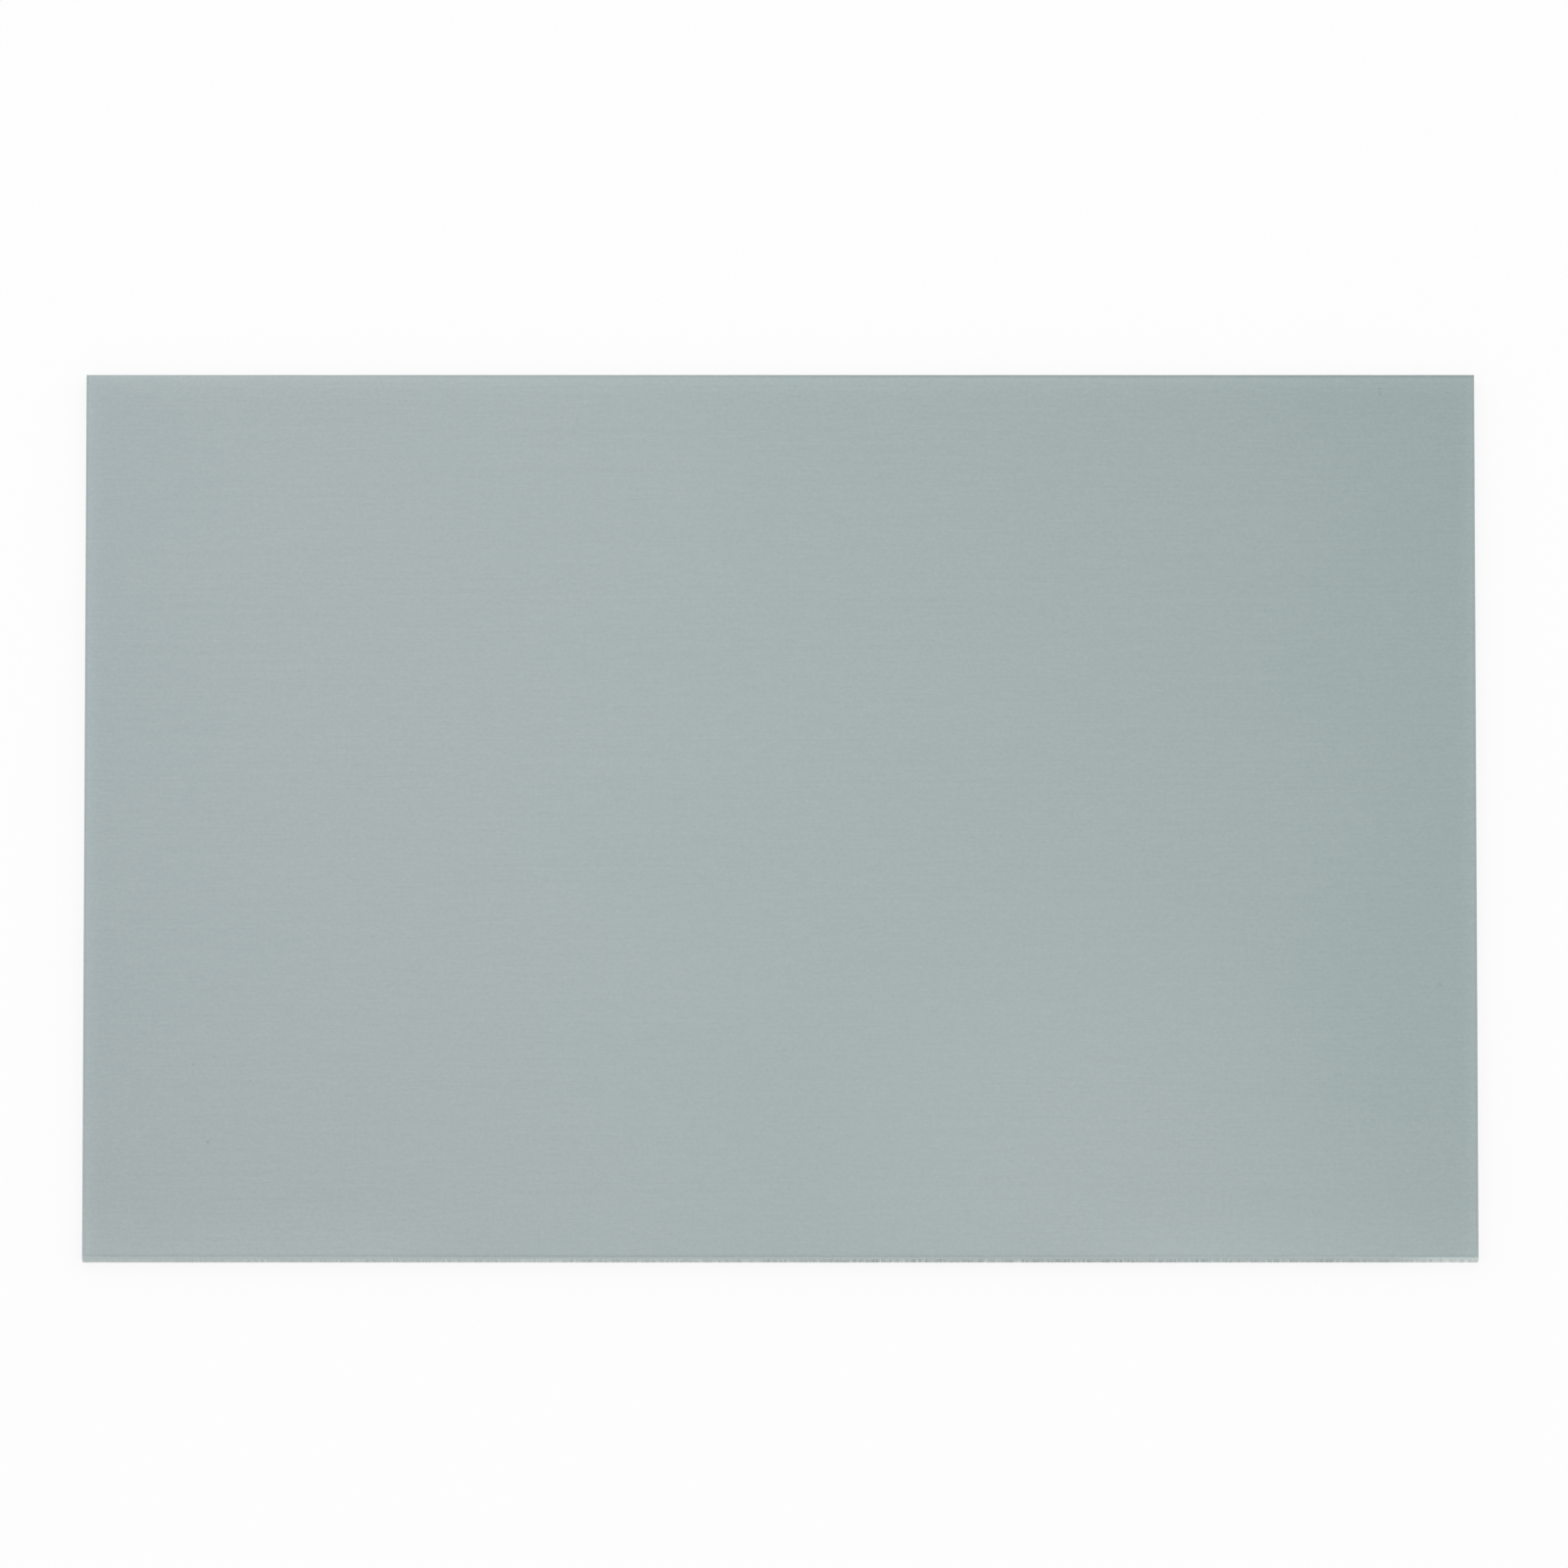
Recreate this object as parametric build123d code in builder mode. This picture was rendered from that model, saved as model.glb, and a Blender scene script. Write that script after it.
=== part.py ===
from build123d import *
import os

# Cut size and gauge of the sheet, in millimetres. X runs along the rolled grain.
sheet_length = 297.0
sheet_width = 210.0
sheet_thickness = 3.0

# The guillotined edge, followed from the show face down to the back face.
roll_width = 0.45  # how far inside the cut the face starts to roll over
roll_drop = 0.30  # how far the rolled corner falls below the face
land_height = 0.80  # square band that the blade burnished
fracture_lean = 0.12  # how far the broken band leans in under the land
back_break = 0.08  # small flat left where the burr was taken off the back


def sheared_section(span, plane):
    """Cross-section of the sheet over one span, cut by the blade at both ends."""
    half_span = span / 2
    roll_start = half_span - roll_width
    roll_end = sheet_thickness - roll_drop
    land_end = roll_end - land_height
    foot = half_span - fracture_lean

    with BuildSketch(plane) as section:
        with BuildLine():
            Line((0, sheet_thickness), (roll_start, sheet_thickness))
            EllipticalCenterArc(
                (roll_start, roll_end), roll_width, roll_drop, start_angle=90, arc_size=-90
            )
            land = Line((half_span, roll_end), (half_span, land_end))
            fracture = Line(land @ 1, (foot, back_break))
            burr_flat = Line(fracture @ 1, (foot - back_break, 0))
            Line(burr_flat @ 1, (0, 0))
            mirror(about=Plane.YZ)
        make_face()
    return section.sketch


back_edge = Plane.XZ.offset(-sheet_width / 2)
left_edge = Plane.YZ.offset(-sheet_length / 2)

# One section runs from the back edge to the front, the other from left to right.
# Each trims the other, so neighbouring cuts meet at sharp mitred corners.
with BuildPart() as sheet:
    extrude(sheared_section(sheet_length, back_edge), amount=sheet_width)
    extrude(sheared_section(sheet_width, left_edge), amount=sheet_length, mode=Mode.INTERSECT)
sheet.part.label = "sheet"

os.makedirs("parts", exist_ok=True)
export_step(sheet.part, "parts/sheet.step")
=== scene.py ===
import bmesh
import bpy
import math
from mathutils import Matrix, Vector


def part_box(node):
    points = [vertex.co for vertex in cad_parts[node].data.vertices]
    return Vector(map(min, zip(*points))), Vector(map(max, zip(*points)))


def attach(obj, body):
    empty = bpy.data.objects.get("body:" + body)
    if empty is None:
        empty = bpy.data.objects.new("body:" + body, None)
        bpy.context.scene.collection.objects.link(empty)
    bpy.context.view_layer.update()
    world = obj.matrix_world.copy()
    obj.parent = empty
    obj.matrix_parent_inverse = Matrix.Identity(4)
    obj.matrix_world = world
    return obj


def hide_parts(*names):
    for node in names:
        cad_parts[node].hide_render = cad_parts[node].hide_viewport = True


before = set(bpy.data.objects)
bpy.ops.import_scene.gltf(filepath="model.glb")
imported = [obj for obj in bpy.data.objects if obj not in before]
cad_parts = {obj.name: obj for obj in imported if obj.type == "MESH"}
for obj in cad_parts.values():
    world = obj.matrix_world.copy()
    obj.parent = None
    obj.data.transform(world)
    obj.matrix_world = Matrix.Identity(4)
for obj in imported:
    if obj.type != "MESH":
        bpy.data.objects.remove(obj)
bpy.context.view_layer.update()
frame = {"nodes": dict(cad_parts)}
print("frame loaded, nodes:", ", ".join(frame["nodes"]))

mm = 0.001  # one millimetre in Blender's metres
tiny = 0.001 * mm  # two lengths this close are the same
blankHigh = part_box("sheet")[1]  # highest corner; the origin is the middle of the back face
halfLength = blankHigh.x
halfWidth = blankHigh.y
gauge = blankHigh.z

# the sheared blank, in mm, with its cut edge read down from the show face
blank = {
    "rollWidth": 0.45,  # the face starts to roll over this far inside the cut
    "rollDrop": 0.30,
    "landHeight": 0.80,  # smooth band that the blade burnished
    "fractureLean": 0.12,
    "backBreak": 0.08,
    "rollRows": 5,  # rows of faces down each band
    "landRows": 2,
    "tornRows": 6,
    "rimWidth": 0.30,  # flat ring that keeps the shading of the roll off the face
    "longCells": 99,  # cells of the flat middle, along X and along Y
    "shortCells": 70,
    "columnsPerCell": 12,  # finer columns round the cut edge
    "middleInset": 3.0,
    "sharpAngle": 30.0,  # degrees; faces that meet more sharply keep their edge
}


def insetOf(point):
    return min(halfLength - abs(point.x), halfWidth - abs(point.y))


def pickEdges(test):
    # selects the edges that pass the test, which is given the two ends and the number of faces
    mesh = bmesh.from_edit_mesh(bpy.context.object.data)
    bpy.ops.mesh.select_all(action="DESELECT")
    for edge in mesh.edges:
        if test(edge.verts[0].co, edge.verts[1].co, len(edge.link_faces)):
            edge.select_set(True)
    mesh.select_flush_mode()
    bmesh.update_edit_mesh(bpy.context.object.data)


def pickFaces(test):
    # selects the faces whose middle passes the test
    mesh = bmesh.from_edit_mesh(bpy.context.object.data)
    bpy.ops.mesh.select_all(action="DESELECT")
    for face in mesh.faces:
        if test(face.calc_center_median()):
            face.select_set(True)
    mesh.select_flush_mode()
    bmesh.update_edit_mesh(bpy.context.object.data)


# heights of the bands of the cut edge, in metres
rollEnd = gauge - blank["rollDrop"] * mm
landEnd = rollEnd - blank["landHeight"] * mm
foot = blank["backBreak"] * mm


def edgeRings():
    # inset from the cut and height of each ring of points, from the show face down to the back
    middle = blank["middleInset"] * mm
    rollWidth = blank["rollWidth"] * mm
    lean = blank["fractureLean"] * mm
    rings = [(middle, gauge), (rollWidth + blank["rimWidth"] * mm, gauge)]
    for row in range(blank["rollRows"] + 1):
        turn = math.radians(90 * row / blank["rollRows"])
        drop = (gauge - rollEnd) * (1 - math.cos(turn))
        rings.append((rollWidth * (1 - math.sin(turn)), gauge - drop))
    for row in range(1, blank["landRows"] + 1):
        rings.append((0.0, rollEnd - (rollEnd - landEnd) * row / blank["landRows"]))
    for row in range(1, blank["tornRows"] + 1):
        share = row / blank["tornRows"]
        rings.append((lean * share, landEnd - (landEnd - foot) * share))
    rings.append((lean + foot, 0.0))
    rings.append((middle, 0.0))
    return rings


def layGrid(inset, height):
    # the flat middle of a face, in cells
    bpy.ops.mesh.primitive_grid_add(
        x_subdivisions=blank["longCells"],
        y_subdivisions=blank["shortCells"],
        size=2,  # reaches 1 each way, so the resize sets half the length and half the width
        location=(0, 0, height),
    )
    if bpy.context.mode != "EDIT_MESH":
        bpy.ops.object.mode_set(mode="EDIT")
    bpy.ops.transform.resize(
        value=(halfLength - inset, halfWidth - inset, 1), center_override=(0, 0, height)
    )


def drawRim(before, after):
    # draws the open rim up, and out or in from the middle, so that the corners stay mitred
    bpy.ops.mesh.extrude_region_move(TRANSFORM_OT_translate={"value": (0, 0, after[1] - before[1])})
    stretch = (
        (halfLength - after[0]) / (halfLength - before[0]),
        (halfWidth - after[0]) / (halfWidth - before[0]),
        1,
    )
    bpy.ops.transform.resize(value=stretch, center_override=(0, 0, after[1]))


def cutColumns():
    # cuts each cell of the rings round the edge into fine columns
    outer = 0.5 * (blank["middleInset"] + blank["rollWidth"] + blank["rimWidth"]) * mm
    pickEdges(
        lambda first, second, faces: abs(first.z - second.z) < tiny
        and abs(insetOf(first) - insetOf(second)) < tiny
        and insetOf(first) < outer
    )
    bpy.ops.mesh.subdivide(number_cuts=blank["columnsPerCell"] - 1)


def shapeBlank():
    bpy.ops.object.select_all(action="DESELECT")
    rings = edgeRings()[::-1]  # from the back up, so that the object's origin is the frame's
    layGrid(*rings[0])
    bpy.ops.mesh.select_mode(type="EDGE")
    pickEdges(lambda first, second, faces: faces < 2)
    for before, after in zip(rings, rings[1:]):
        drawRim(before, after)
    layGrid(*rings[-1])
    bpy.ops.mesh.select_all(action="SELECT")
    bpy.ops.mesh.remove_doubles(threshold=tiny)
    cutColumns()
    bpy.ops.mesh.select_all(action="SELECT")
    bpy.ops.mesh.normals_make_consistent(inside=False)
    bpy.ops.object.mode_set(mode="OBJECT")
    piece = bpy.context.object
    piece.name = "anodisedSheet"
    piece.data.name = "anodisedSheet"
    print("blank shaped,", len(piece.data.polygons), "faces")
    return piece


# relief of the cut edge, in mm; none of it stands out of the blank
relief = {
    "tearWander": 0.60,  # how far the line between land and tear goes up and down
    "tearLength": 42.0,
    "tearJitter": 0.22,
    "tearJitterLength": 3.5,
    "fluteDepth": 0.10,  # upright flutes of the torn band
    "fluteWidth": 1.3,
    "fluteHeight": 8.0,
    "chipDepth": 0.04,
    "chipSize": 0.45,
    "rollDent": 0.05,  # unevenness of the rolled corner
    "rollDentLength": 8.0,
    "footShare": 0.35,  # how much of the flutes and chips is left at the back
    "landShare": 0.12,  # how much of them is left on the land
    "landFade": 0.6,  # share of the land over which they fade to that
}


def bandShare(height, low, high):
    return min(max((height - low) / (high - low), 0.0), 1.0)


def weighRows(piece):
    # one vertex group for each kind of relief, weighted by the height on the cut edge
    torn = piece.vertex_groups.new(name="tornBand")
    tearLine = piece.vertex_groups.new(name="tearLine")
    rolled = piece.vertex_groups.new(name="rolledCorner")
    middle = 0.5 * (foot + landEnd)
    for vert in piece.data.vertices:
        height = vert.co.z
        onFlat = height < tiny or height > gauge - tiny
        if onFlat:
            continue
        rising = bandShare(height, foot, middle)
        falling = 1 - bandShare(height, landEnd, landEnd + relief["landFade"] * (rollEnd - landEnd))
        low = relief["footShare"] + (1 - relief["footShare"]) * rising
        high = relief["landShare"] + (1 - relief["landShare"]) * falling
        torn.add([vert.index], min(low, high), "REPLACE")
        tearShare = min(bandShare(height, foot, landEnd), 1 - bandShare(height, landEnd, rollEnd))
        tearLine.add([vert.index], tearShare, "REPLACE")
        if height > rollEnd:
            rolled.add([vert.index], 1 - bandShare(height, rollEnd, gauge), "REPLACE")


def pressRelief(piece, group, depth, size, octaves=1, upAndDown=False):
    # noise presses the group's rows in, or moves them up and down; its size is in mm, along
    # the sheet, across it and through it
    clouds = bpy.data.textures.new(group + "Clouds", "CLOUDS")
    clouds.noise_scale = 1.0
    clouds.noise_depth = octaves
    bpy.ops.object.empty_add(location=(0, 0, 0))
    guide = bpy.context.object
    guide.scale = [value * mm for value in size]
    bpy.context.view_layer.update()
    bpy.ops.object.select_all(action="DESELECT")
    bpy.context.view_layer.objects.active = piece
    piece.select_set(True)
    bpy.ops.object.modifier_add(type="DISPLACE")
    press = piece.modifiers[-1]
    press.texture = clouds
    press.texture_coords = "OBJECT"
    press.texture_coords_object = guide
    press.vertex_group = group
    press.direction = "Z" if upAndDown else "NORMAL"
    press.mid_level = 0.5 if upAndDown else 0.0  # the level of noise that moves nothing
    press.strength = -depth * mm
    bpy.ops.object.modifier_apply(modifier=press.name)
    bpy.data.objects.remove(guide)
    bpy.data.textures.remove(clouds)


def roughenEdge(piece):
    weighRows(piece)
    wander = [relief["tearLength"]] * 3
    jitter = [relief["tearJitterLength"]] * 3
    pressRelief(piece, "tearLine", relief["tearWander"], wander, upAndDown=True)
    pressRelief(piece, "tearLine", relief["tearJitter"], jitter, octaves=2, upAndDown=True)
    flute = (relief["fluteWidth"], relief["fluteWidth"], relief["fluteHeight"])
    pressRelief(piece, "tornBand", relief["fluteDepth"], flute, octaves=2)
    pressRelief(piece, "tornBand", relief["chipDepth"], [relief["chipSize"]] * 3)
    pressRelief(piece, "rolledCorner", relief["rollDent"], [relief["rollDentLength"]] * 3)
    piece.vertex_groups.clear()
    bpy.ops.object.shade_smooth_by_angle(angle=math.radians(blank["sharpAngle"]))
    print("cut edge roughened")


# finishes: colours are linear light, sizes and places are in mm, and each layer of grain gives
# its size, its detail, its shift and its swing, which is how far it lightens and darkens
noiseRange = (0.2, 0.8)  # most of a noise lies between these


def newFinish(name):
    # a new material, its nodes, and the shader among them
    finish = bpy.data.materials.new(name)
    finish.use_nodes = True
    return finish, finish.node_tree, finish.node_tree.nodes["Principled BSDF"]


def addNode(tree, kind, inputs=None, **settings):
    node = tree.nodes.new(kind)
    for setting, value in settings.items():
        setattr(node, setting, value)
    for socket, value in (inputs or {}).items():
        if isinstance(value, bpy.types.NodeSocket):
            tree.links.new(value, node.inputs[socket])
        else:
            node.inputs[socket].default_value = value
    return node


def objectPoint(tree):
    return addNode(tree, "ShaderNodeTexCoord").outputs["Object"]


def noise(tree, point, size, detail, shift):
    # noise of the given size in mm, from 0 to 1
    scale = [1 / (length * mm) for length in size]
    place = addNode(
        tree,
        "ShaderNodeMapping",
        {"Vector": point, "Location": (shift, shift, shift), "Scale": scale},
    )
    return addNode(
        tree,
        "ShaderNodeTexNoise",
        {"Vector": place.outputs["Vector"], "Scale": 1.0, "Detail": detail},
    ).outputs["Fac"]


def spread(tree, value, low, high, toLow, toHigh):
    return addNode(
        tree,
        "ShaderNodeMapRange",
        {"Value": value, "From Min": low, "From Max": high, "To Min": toLow, "To Max": toHigh},
    ).outputs["Result"]


def spreadPlaces(tree, value, places):
    # 0 at the first of two places in mm and 1 at the second
    return spread(tree, value, places[0] * mm, places[1] * mm, 0.0, 1.0)


def calc(tree, operation, first, second):
    return addNode(tree, "ShaderNodeMath", {0: first, 1: second}, operation=operation).outputs[0]


def mixColour(tree, share, first, second, blend="MIX"):
    # the node's colours come in at sockets 6 and 7 and go out at 2
    node = addNode(tree, "ShaderNodeMix", data_type="RGBA", blend_type=blend)
    for socket, value in ((0, share), (6, first), (7, second)):
        if isinstance(value, bpy.types.NodeSocket):
            tree.links.new(value, node.inputs[socket])
        elif socket == 0:
            node.inputs[socket].default_value = value
        else:
            node.inputs[socket].default_value = (*value, 1.0)
    return node.outputs[2]


def shade(tree, colour, value):
    # the colour made lighter or darker by a value near 1
    grey = addNode(tree, "ShaderNodeCombineColor", {"Red": value, "Green": value, "Blue": value})
    return mixColour(tree, 1.0, colour, grey.outputs["Color"], "MULTIPLY")


def bumpFrom(tree, height, depth):
    bump = addNode(tree, "ShaderNodeBump", {"Height": height, "Strength": 1.0, "Distance": depth * mm})
    return bump.outputs["Normal"]


def near(tree, point, place, full, gone):
    # 1 within the full distance of a place and 0 past the other, in mm
    away = addNode(
        tree,
        "ShaderNodeVectorMath",
        {0: point, 1: [value * mm for value in place]},
        operation="DISTANCE",
    ).outputs["Value"]
    return spread(tree, away, full * mm, gone * mm, 1.0, 0.0)


def swung(tree, value, middle, swing):
    # a noise spread evenly about a middle
    return spread(tree, value, *noiseRange, middle - swing, middle + swing)


def grainOf(tree, point, layers):
    # the noise of each layer, and the lightness that they all add up to, near 1
    noises = {}
    level = 1.0
    for name, (size, detail, shift, swing) in layers.items():
        noises[name] = noise(tree, point, size, detail, shift)
        level = calc(tree, "ADD", swung(tree, noises[name], 0.0, swing), level)
    return noises, level


def tinted(tree, colour, share, tint):
    # the colour multiplied by the tint as far as the share goes
    factor = mixColour(tree, share, (1.0, 1.0, 1.0), tint)
    return mixColour(tree, 1.0, colour, factor, "MULTIPLY")


# stretches of the near cut that look different: place, middle and reach
stretches = {
    "rubbed": ((148.5, -105.0, 0.0), 10.0, 19.0),  # bright, at the right-hand corner
    "dull": ((80.0, -105.0, 0.0), 12.0, 60.0),  # the bare metal is duller
    "coarse": ((62.0, -105.0, 0.0), 42.0, 62.0),  # the torn metal is more streaked
    "calm": ((-148.5, -105.0, 0.0), 20.0, 50.0),  # and less so at the left-hand corner
    "paintedLightRight": ((118.0, -105.0, 3.0), 36.0, 62.0),  # painted light: the roll and the face are painted paler
    "paintedLightLeft": ((-120.0, -105.0, 3.0), 35.0, 52.0),  # and here too, painted light
}


def nearStretch(tree, point, name):
    return near(tree, point, *stretches[name])


def tintedStretches(tree, point, colour, metal):
    # the bare metal's colour with its dull and its rubbed stretch
    for stretch in ("dull", "rubbed"):
        colour = tinted(tree, colour, nearStretch(tree, point, stretch), metal[stretch + "Tint"])
    return colour


# the film on both faces and the roll
film = {
    "colour": (0.369, 0.4315, 0.432),
    "pinkColour": (0.380, 0.4315, 0.437),  # where the film came out a little thicker
    "blueColour": (0.369, 0.4255, 0.4375),
    "tealColour": (0.358, 0.425, 0.428),
    "pinkFrom": (-10.0, -60.0),  # each tint comes in between these places along X
    "blueFrom": (-112.0, -146.0),
    "tealFrom": (98.0, 146.0),
    "endsFrom": (-108.0, -62.0),  # and the blue and the teal between these along Y
    "patch": ((70.0, -87.0, 0.0), 14.0, 74.0),  # a pink patch, which is also painted lighter as a painted pool of light: its place, middle and reach
    "patchPaintedLight": 0.027,  # how much lighter the patch is painted: a painted pool of light
    "patchBreaks": (0.3, 0.6),  # the patch is fainter where the mottle is below these
    "patchLeast": 0.5,
    "clouds": ((60.0, 45.0, 45.0), 2.0, 1.3),  # size, detail and shift
    "cloudDrift": 60.0,  # how far the clouds move the border of a tint
    "mottle": ((4.0, 2.6, 2.6), 2.0, 4.9),
    "mottleDrift": 50.0,
    "grain": {
        "streaks": ((9.0, 0.45, 0.45), 2.0, 0.0, 0.020),
        "lines": ((70.0, 0.60, 0.60), 1.0, 3.1, 0.014),
        "etch": ((0.80, 0.74, 0.74), 1.0, 7.7, 0.046),
        "hairs": ((4.0, 0.09, 0.09), 3.0, 2.4, 0.048),  # finest lines of the rolled grain
        "frost": ((0.12, 0.07, 0.07), 1.0, 6.1, 0.050),
    },
    "pits": (  # dark specks: place on the show face, radius, and how much darker
        ((-121.8, -77.8), 0.44, 0.190),
        ((-125.0, -59.4), 0.34, 0.160),
        ((-120.6, -57.6), 0.34, 0.130),
        ((-112.8, -63.2), 0.30, 0.160),
        ((8.2, -74.4), 0.28, 0.160),
        ((140.5, -40.5), 0.76, 0.090),
        ((128.3, 101.5), 0.50, 0.095),  # the last three run into one upright mark
        ((128.3, 100.8), 0.50, 0.095),
        ((128.3, 100.1), 0.50, 0.095),
    ),
    "pitMiddle": 0.4,  # share of the radius that is darkest
    "rimSheenTint": (1.095, 1.095, 1.095),  # painted sheen: the film is painted paler beside the far cut and the side cuts
    "sideReach": 6.0,  # how far in that goes from the side cuts, and from the far cut
    "farReach": 9.0,
    "rimFall": 3.0,  # power by which that falls off inwards
    "shadeLineTint": (0.90, 0.90, 0.90),  # painted shade: a dark line painted beside the far roll
    "lineFrom": (1.1, 0.4),  # it comes in between these distances from the cut
    "lineAlong": (-140.0, 40.0),  # and between these places along X
    "paleFrom": (-92.0, -105.0),  # the stretches of painted light pale the face between these along Y
    "facePaintedLightTint": (1.042, 1.042, 1.042),
    "rollPaintedLightTint": (1.05, 1.05, 1.05),  # and the roll once more, painted light too
    "rollPaintedLightDepth": 0.10,  # where the painted light on the roll is whole, below the show face
    "roughness": 0.36,
    "roughnessSwing": 0.02,
    "anisotropy": 0.45,  # the rolled grain spreads a highlight across itself
    "coat": 0.15,
    "coatRoughness": 0.30,
    "hairBump": 0.5,  # height of the hairs beside that of the etch
    "bumpDepth": 0.002,
}


def filmColour(tree, point):
    # the film's tint drifts along the sheet, and breaks up into a faint mottle where it changes
    along, across, _ = addNode(tree, "ShaderNodeSeparateXYZ", {"Vector": point}).outputs
    clouds = noise(tree, point, *film["clouds"])
    mottle = noise(tree, point, *film["mottle"])
    wavering = along
    for value, drift in ((clouds, film["cloudDrift"]), (mottle, film["mottleDrift"])):
        wavering = calc(tree, "ADD", wavering, spread(tree, value, 0.0, 1.0, -drift * mm, drift * mm))

    patch = near(tree, point, *film["patch"])
    breaks = spread(tree, mottle, *film["patchBreaks"], film["patchLeast"], 1.0)
    broken = calc(tree, "MULTIPLY", patch, breaks)
    pink = calc(tree, "MAXIMUM", spreadPlaces(tree, wavering, film["pinkFrom"]), broken)
    colour = mixColour(tree, pink, film["colour"], film["pinkColour"])
    inward = spreadPlaces(tree, across, film["endsFrom"])
    for tint, places in (("blueColour", "blueFrom"), ("tealColour", "tealFrom")):
        share = calc(tree, "MULTIPLY", spreadPlaces(tree, wavering, film[places]), inward)
        colour = mixColour(tree, share, colour, film[tint])
    # painted light: the film is painted lighter in the patch, a painted pool of light
    return shade(tree, colour, spread(tree, patch, 0.0, 1.0, 1.0, 1.0 + film["patchPaintedLight"]))


def rimShare(tree, inset, reach):
    # 1 at the cut, and less and less inwards: the share of the painted sheen
    return calc(tree, "POWER", spreadPlaces(tree, inset, (reach, 0.0)), film["rimFall"])


def paintedEdgeLight(tree, point, colour):
    # painted light along the cuts: painted sheen beside the far and side cuts, a painted dark line of
    # shade beside the far roll, and the roll and the show face beside it painted paler; the back has
    # none
    along, across, up = addNode(tree, "ShaderNodeSeparateXYZ", {"Vector": point}).outputs
    aboveBack = spread(tree, up, 0.0, rollEnd, 0.0, 1.0)
    sideInset = calc(tree, "SUBTRACT", halfLength, calc(tree, "ABSOLUTE", along, 0.0))
    farInset = calc(tree, "SUBTRACT", halfWidth, across)
    beside = spreadPlaces(tree, farInset, film["lineFrom"])
    line = calc(tree, "MULTIPLY", beside, spreadPlaces(tree, along, film["lineAlong"]))
    clear = calc(tree, "SUBTRACT", 1.0, line)
    far = calc(tree, "MULTIPLY", rimShare(tree, farInset, film["farReach"]), clear)
    rim = calc(tree, "MAXIMUM", rimShare(tree, sideInset, film["sideReach"]), far)
    # painted sheen beside the cuts, and a painted dark line of shade beside the far roll
    for share, tint in ((rim, film["rimSheenTint"]), (line, film["shadeLineTint"])):
        colour = tinted(tree, colour, calc(tree, "MULTIPLY", share, aboveBack), tint)

    # painted light: the roll and the show face beside it are painted paler in two stretches of the near
    # cut
    left, right = nearStretch(tree, point, "paintedLightLeft"), nearStretch(tree, point, "paintedLightRight")
    paintedLight = calc(tree, "MULTIPLY", calc(tree, "MAXIMUM", left, right), aboveBack)
    pale = calc(tree, "MULTIPLY", paintedLight, spreadPlaces(tree, across, film["paleFrom"]))
    rolled = spread(tree, up, gauge, gauge - film["rollPaintedLightDepth"] * mm, 0.0, 1.0)
    colour = tinted(tree, colour, pale, film["facePaintedLightTint"])
    return tinted(tree, colour, calc(tree, "MULTIPLY", paintedLight, rolled), film["rollPaintedLightTint"])


def filmFinish():
    finish, tree, shader = newFinish("anodisedFilm")
    point = objectPoint(tree)
    noises, level = grainOf(tree, point, film["grain"])
    for (along, across), radius, loss in film["pits"]:
        pit = near(tree, point, (along, across, gauge / mm), film["pitMiddle"] * radius, radius)
        level = calc(tree, "SUBTRACT", level, calc(tree, "MULTIPLY", pit, loss))
    colour = paintedEdgeLight(tree, point, filmColour(tree, point))
    tree.links.new(shade(tree, colour, level), shader.inputs["Base Color"])

    rough = swung(tree, noises["streaks"], film["roughness"], film["roughnessSwing"])
    rough = calc(tree, "ADD", rough, swung(tree, noises["etch"], 0.0, film["roughnessSwing"]))
    tree.links.new(rough, shader.inputs["Roughness"])
    height = calc(tree, "ADD", calc(tree, "MULTIPLY", noises["hairs"], film["hairBump"]), noises["etch"])
    tree.links.new(bumpFrom(tree, height, film["bumpDepth"]), shader.inputs["Normal"])
    around = addNode(tree, "ShaderNodeTangent", direction_type="RADIAL", axis="X")
    tree.links.new(around.outputs["Tangent"], shader.inputs["Tangent"])
    shader.inputs["Metallic"].default_value = 1.0
    shader.inputs["Anisotropic"].default_value = film["anisotropy"]
    shader.inputs["Coat Weight"].default_value = film["coat"]
    shader.inputs["Coat Roughness"].default_value = film["coatRoughness"]
    return finish


# the smooth band of the cut edge
land = {
    "colour": (0.441, 0.507, 0.499),
    "rubbedTint": (1.27, 1.26, 1.27),
    "dullTint": (0.94, 0.94, 0.94),
    "grain": {
        "scratches": ((0.5, 0.5, 5.0), 3.0, 0.0, 0.080),
        "hairs": ((0.08, 0.08, 3.0), 3.0, 3.3, 0.135),
    },
    "roughness": 0.30,
    "roughnessSwing": 0.08,
    "bumpDepth": 0.01,
}


def landFinish():
    finish, tree, shader = newFinish("burnishedLand")
    point = objectPoint(tree)
    noises, level = grainOf(tree, point, land["grain"])
    colour = tintedStretches(tree, point, land["colour"], land)
    tree.links.new(shade(tree, colour, level), shader.inputs["Base Color"])
    rough = swung(tree, noises["scratches"], land["roughness"], land["roughnessSwing"])
    tree.links.new(rough, shader.inputs["Roughness"])
    tree.links.new(bumpFrom(tree, noises["scratches"], land["bumpDepth"]), shader.inputs["Normal"])
    shader.inputs["Metallic"].default_value = 1.0
    return finish


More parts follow.
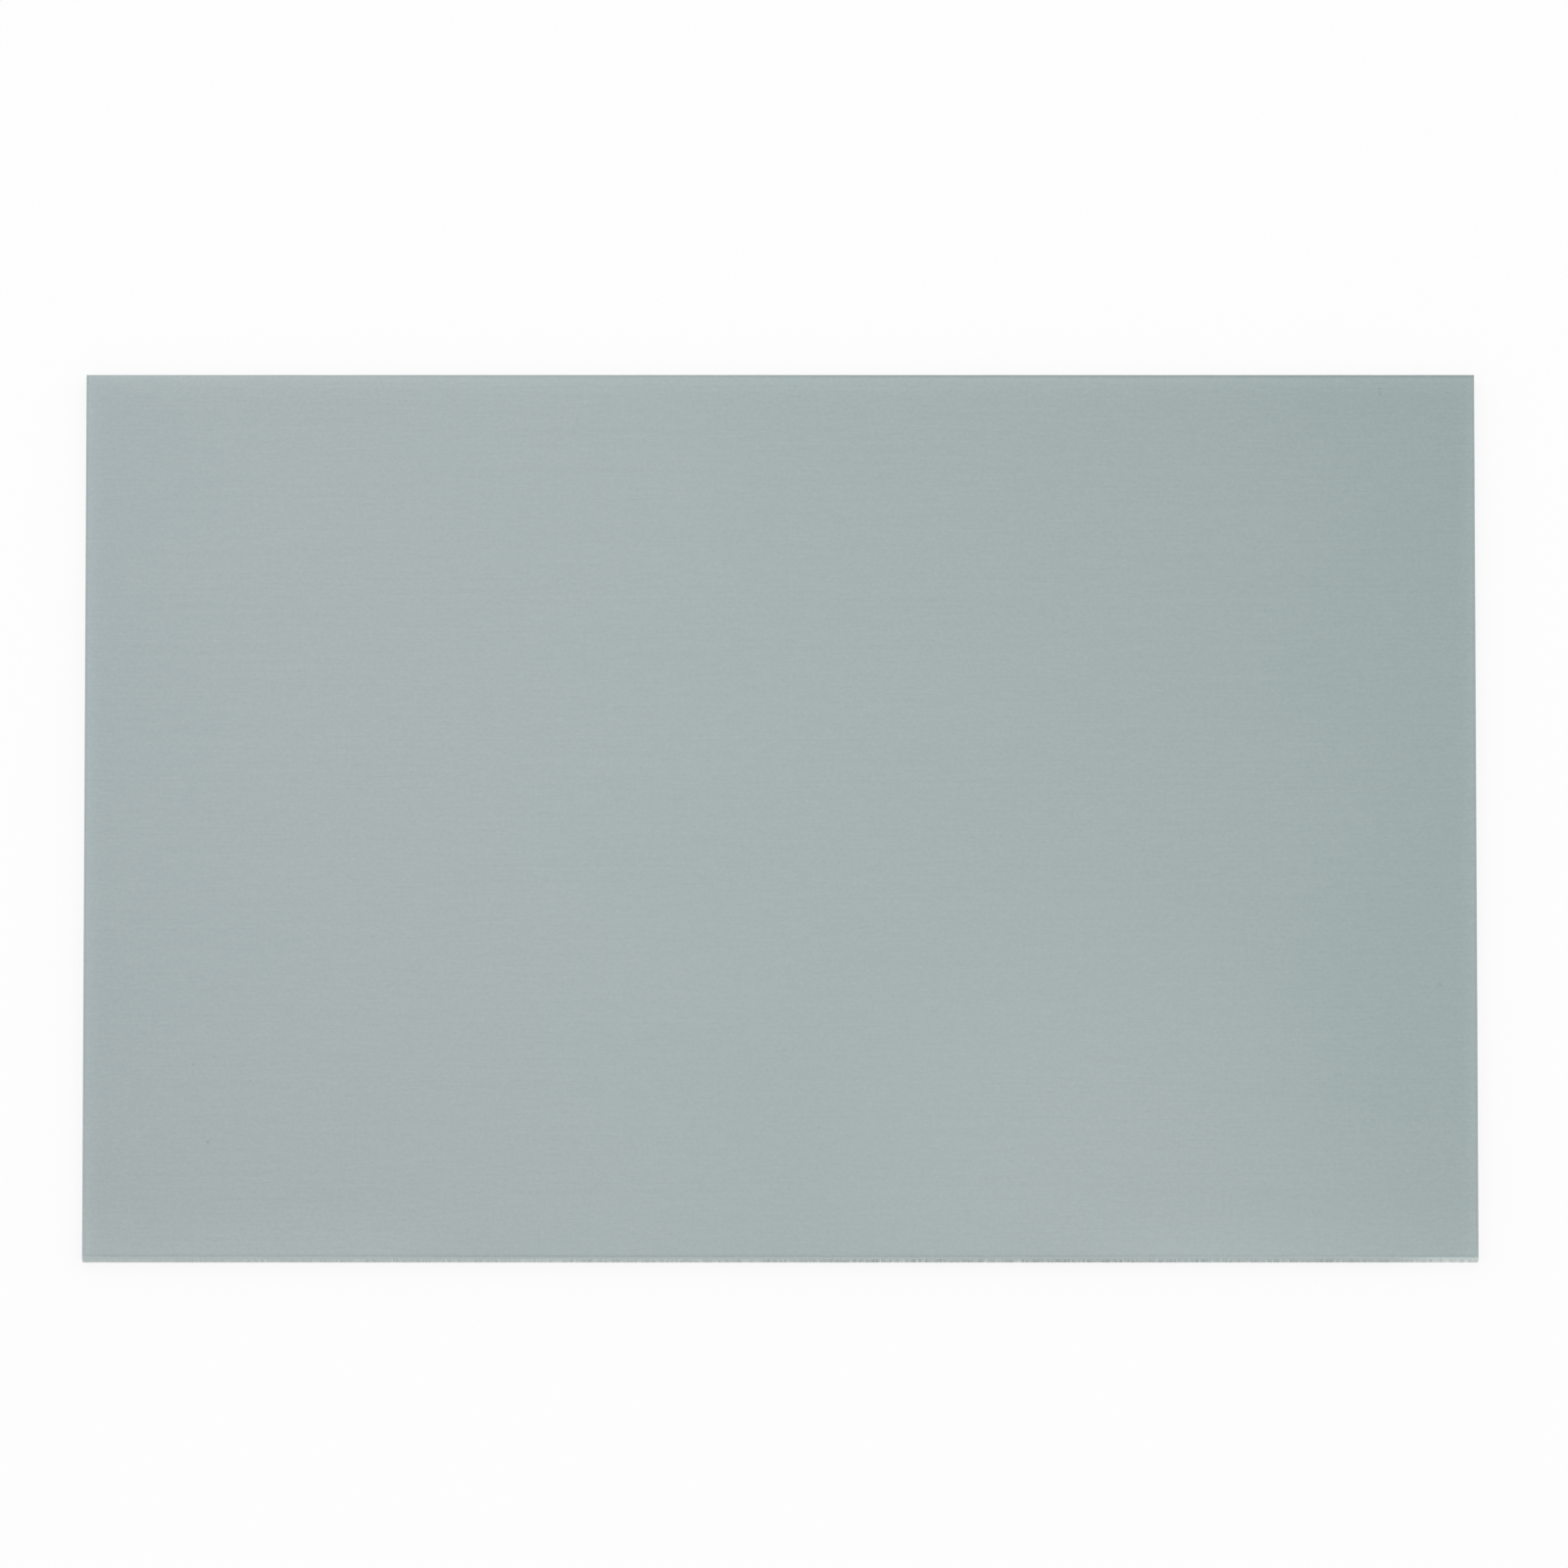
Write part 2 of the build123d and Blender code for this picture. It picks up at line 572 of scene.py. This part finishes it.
# the broken band of the cut edge, below the smooth one
torn = {
    "lowColour": (0.545, 0.592, 0.572),
    "highColour": (0.440, 0.505, 0.490),
    "lowFrom": 0.2,  # the low colour is whole below this height
    "rubbedTint": (1.216, 1.171, 1.174),
    "dullTint": (0.865, 0.88, 0.905),
    "coarseGrain": 1.45,  # strength of the grain in the coarse stretch, and in the calm one
    "calmGrain": 0.3,
    "darkest": 0.25,  # the grain makes no place darker than this share of the colour
    "grain": {
        "streaks": ((0.7, 0.7, 12.0), 3.0, 0.0, 0.230),
        "hairs": ((0.13, 0.13, 2.5), 3.0, 8.2, 0.225),
        "grains": ((0.10, 0.10, 0.14), 2.0, 5.0, 0.140),
        "patches": ((38.0, 38.0, 38.0), 2.0, 2.2, 0.120),
    },
    "roughness": 0.46,
    "roughnessSwing": 0.10,
    "bumpDepth": 0.02,
}


def strengthened(tree, level, share, strength):
    # the grain's lightness drawn away from 1, or towards it, as far as the share goes
    strength = spread(tree, share, 0.0, 1.0, 1.0, strength)
    return calc(tree, "ADD", calc(tree, "MULTIPLY", calc(tree, "SUBTRACT", level, 1.0), strength), 1.0)


def tornFinish():
    finish, tree, shader = newFinish("tornMetal")
    point = objectPoint(tree)
    noises, level = grainOf(tree, point, torn["grain"])
    up = addNode(tree, "ShaderNodeSeparateXYZ", {"Vector": point}).outputs["Z"]
    rise = spread(tree, up, torn["lowFrom"] * mm, landEnd, 0.0, 1.0)
    colour = mixColour(tree, rise, torn["lowColour"], torn["highColour"])
    colour = tintedStretches(tree, point, colour, torn)
    for stretch in ("coarse", "calm"):
        level = strengthened(tree, level, nearStretch(tree, point, stretch), torn[stretch + "Grain"])
    level = calc(tree, "MAXIMUM", level, torn["darkest"])
    tree.links.new(shade(tree, colour, level), shader.inputs["Base Color"])
    rough = swung(tree, noises["grains"], torn["roughness"], torn["roughnessSwing"])
    tree.links.new(rough, shader.inputs["Roughness"])
    height = calc(tree, "ADD", noises["hairs"], noises["grains"])
    tree.links.new(bumpFrom(tree, height, torn["bumpDepth"]), shader.inputs["Normal"])
    shader.inputs["Metallic"].default_value = 1.0
    return finish


def layFinish(piece, finish, low, high):
    # on the faces whose middles lie between two heights
    piece.data.materials.append(finish)
    pickFaces(lambda middle: low < middle.z < high)
    piece.active_material_index = len(piece.data.materials) - 1
    bpy.ops.object.material_slot_assign()


def finishBlank(piece):
    # the film covers both faces and the roll, and the cut below it is bare
    piece.data.materials.append(filmFinish())
    bpy.ops.object.mode_set(mode="EDIT")
    bpy.ops.mesh.select_mode(type="FACE")
    layFinish(piece, landFinish(), landEnd, rollEnd)
    layFinish(piece, tornFinish(), tiny, landEnd)
    bpy.ops.object.mode_set(mode="OBJECT")
    print("finishes laid on")


anodisedSheet = shapeBlank()
finishBlank(anodisedSheet)
roughenEdge(anodisedSheet)
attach(anodisedSheet, "root")
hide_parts("sheet")

# studio, in metres
studio = {
    "floorSize": 8.0,
    "floorGap": 0.02 * mm,  # keeps the floor and the back of the sheet apart
    "floorRoughness": 0.9,
    "floorColour": (0.96, 0.96, 0.96),
    "floorGlow": 0.80,  # share of plain white that the camera and the metal see in the paper
    "horizonLevel": 1.0,
    "skyLevel": 0.79,
    "skyHeights": (0.50, 0.92),  # a direction's Z, from where the sky dims to where it is dimmest
    "skyFront": (-0.35, 0.0),  # and its Y, so that the sky stays brighter towards the front
    "lampLength": 1.8,
    "lampWidth": 0.35,
    "lampPlace": (-0.345, 0.861, 0.80),
    "lampTurn": -58.0,  # degrees, so that its highlight leans over the sheet as in the photograph
    "lampLevel": 0.37,  # radiance of the lamp, where white is 1
}


def buildFloor():
    bpy.ops.object.select_all(action="DESELECT")
    bpy.ops.mesh.primitive_plane_add(size=studio["floorSize"], location=(0, 0, -studio["floorGap"]))
    floor = bpy.context.object
    floor.name = "studioFloor"
    paper, tree, shader = newFinish("floorPaper")
    shader.inputs["Base Color"].default_value = (*studio["floorColour"], 1.0)
    shader.inputs["Roughness"].default_value = studio["floorRoughness"]
    shader.inputs["Specular IOR Level"].default_value = 0.0
    rays = addNode(tree, "ShaderNodeLightPath").outputs
    seen = calc(tree, "ADD", rays["Is Camera Ray"], rays["Is Glossy Ray"])
    seen = calc(tree, "ADD", seen, rays["Is Transmission Ray"])
    glow = addNode(tree, "ShaderNodeEmission", {"Color": (1.0, 1.0, 1.0, 1.0), "Strength": 1.0})
    share = calc(tree, "MULTIPLY", seen, studio["floorGlow"])
    both = addNode(
        tree,
        "ShaderNodeMixShader",
        {0: share, 1: shader.outputs["BSDF"], 2: glow.outputs["Emission"]},
    )
    tree.links.new(both.outputs["Shader"], tree.nodes["Material Output"].inputs["Surface"])
    floor.data.materials.append(paper)


def buildSky():
    sky = bpy.data.worlds.new("studioSky")
    sky.use_nodes = True
    bpy.context.scene.world = sky
    tree = sky.node_tree
    point = addNode(tree, "ShaderNodeTexCoord").outputs["Generated"]
    _, away, up = addNode(tree, "ShaderNodeSeparateXYZ", {"Vector": point}).outputs
    dimming = studio["horizonLevel"], studio["skyLevel"]
    overhead = spread(tree, up, *studio["skyHeights"], *dimming)
    front = spread(tree, away, *studio["skyFront"], *dimming)
    level = calc(tree, "MAXIMUM", overhead, front)
    tree.links.new(level, tree.nodes["Background"].inputs["Strength"])
    tree.nodes["Background"].inputs["Color"].default_value = (1.0, 1.0, 1.0, 1.0)


def hangLamp():
    length, width = studio["lampLength"], studio["lampWidth"]
    bpy.ops.object.light_add(type="AREA", location=studio["lampPlace"])
    lamp = bpy.context.object
    lamp.name = "softbox"
    lamp.rotation_euler = (0, 0, math.radians(studio["lampTurn"]))
    lamp.data.shape = "RECTANGLE"
    lamp.data.size = length
    lamp.data.size_y = width
    lamp.data.energy = studio["lampLevel"] * math.pi * length * width  # watts of a flat lamp
    lamp.visible_camera = False


# the photograph's view of the sheet
photo = {
    "elevation": 63.7,  # degrees that the camera stands above the floor
    "frameWidth": 334.5,  # mm of the sheet that the frame takes in
    "lens": 1500.0,  # mm; so long because the photograph's upright sides are parallel
    "sensor": 36.0,
    "aimRight": 0.78,  # mm from the sheet's middle to the frame's, as the camera sees it
    "aimUp": 7.13,
    "farthest": 40.0,  # metres that the camera sees
}


def placeCamera():
    rise = math.radians(photo["elevation"])
    toCamera = Vector((0, -math.cos(rise), math.sin(rise)))
    upwards = Vector((0, math.sin(rise), math.cos(rise)))
    middle = Vector((0, 0, 0.5 * gauge))
    aim = middle + Vector((photo["aimRight"] * mm, 0, 0)) + upwards * photo["aimUp"] * mm
    distance = photo["frameWidth"] * mm * photo["lens"] / photo["sensor"]
    bpy.ops.object.camera_add(location=aim + toCamera * distance)
    camera = bpy.context.object
    camera.name = "photoCamera"
    camera.rotation_euler = (math.pi / 2 - rise, 0, 0)
    camera.data.lens = photo["lens"]
    camera.data.sensor_width = photo["sensor"]
    camera.data.clip_end = photo["farthest"]
    bpy.context.scene.camera = camera


buildFloor()
buildSky()
hangLamp()
placeCamera()
bpy.context.scene.view_settings.view_transform = "Standard"
print("studio set")
